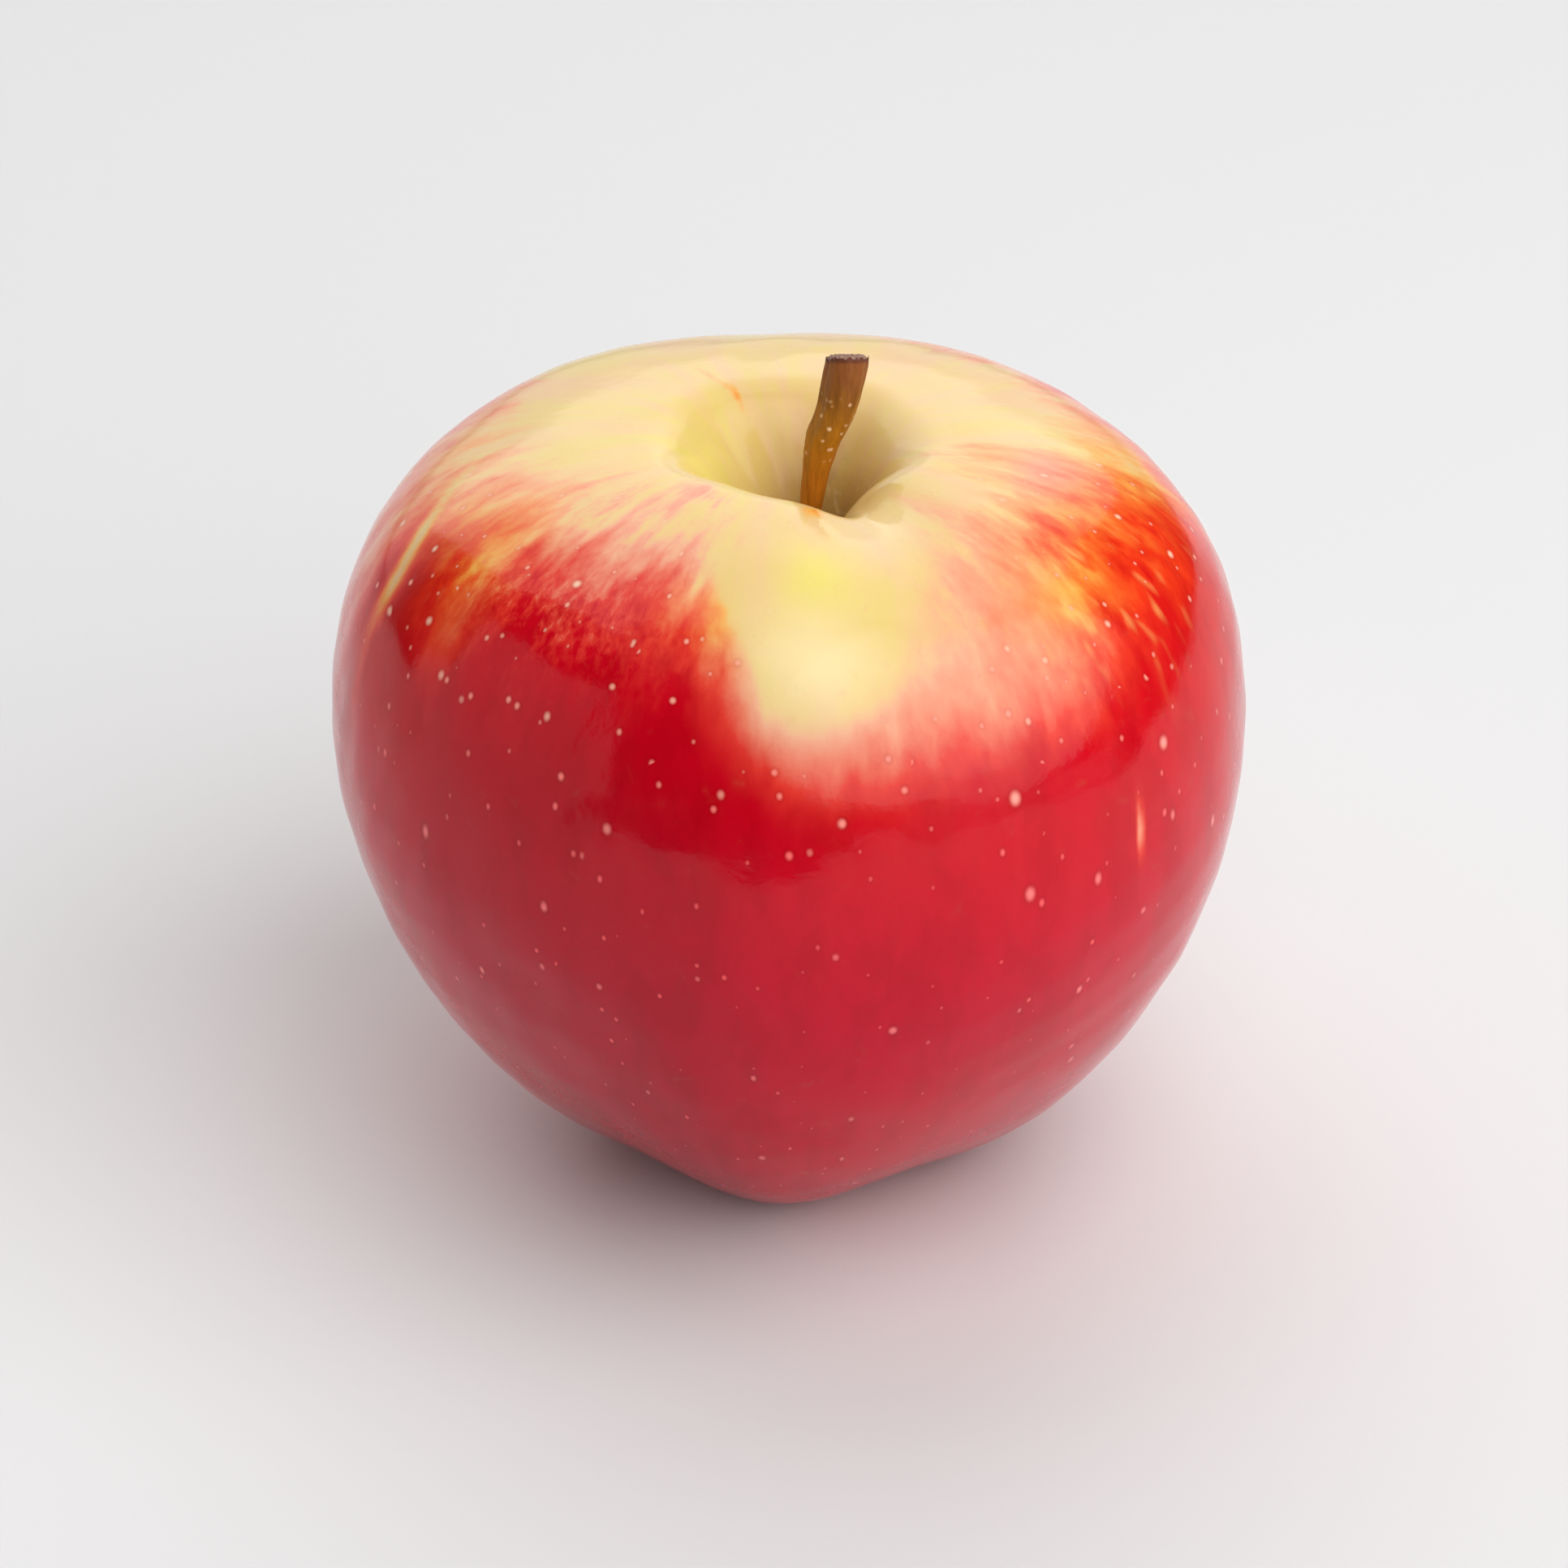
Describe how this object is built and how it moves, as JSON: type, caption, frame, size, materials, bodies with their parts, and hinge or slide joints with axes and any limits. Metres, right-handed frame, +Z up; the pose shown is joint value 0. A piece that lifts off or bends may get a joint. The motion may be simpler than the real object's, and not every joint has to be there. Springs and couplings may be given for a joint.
{
  "type": "red apple",
  "caption": "Whole red eating apple with a leaning woody stalk in a deep cavity and dried sepals underneath, standing on its base lobes.",
  "frame": {"origin": "on the surface that the apple stands on, under the middle of its bounding box", "axes": "+Z up along the core from the calyx basin to the stalk, -Y towards the side with the pale patch, +X towards the side that the stalk leans to"},
  "size_m": [0.0758, 0.0762, 0.0721],
  "materials": {
    "skin": "waxy, smooth and glossy; crimson over a pale yellow ground with fine streaks and pale dots",
    "stalk_bark": "dry brown bark with small pale dots, broken at the end",
    "dried_calyx": "dry, brown and matt"
  },
  "bodies": {
    "root": {"fruit": "skin", "stalk": "stalk_bark", "calyx_sepal_1": "dried_calyx", "calyx_sepal_2": "dried_calyx", "calyx_sepal_3": "dried_calyx", "calyx_sepal_4": "dried_calyx", "calyx_sepal_5": "dried_calyx", "dried_stamens": "dried_calyx"}
  },
  "joints": []
}
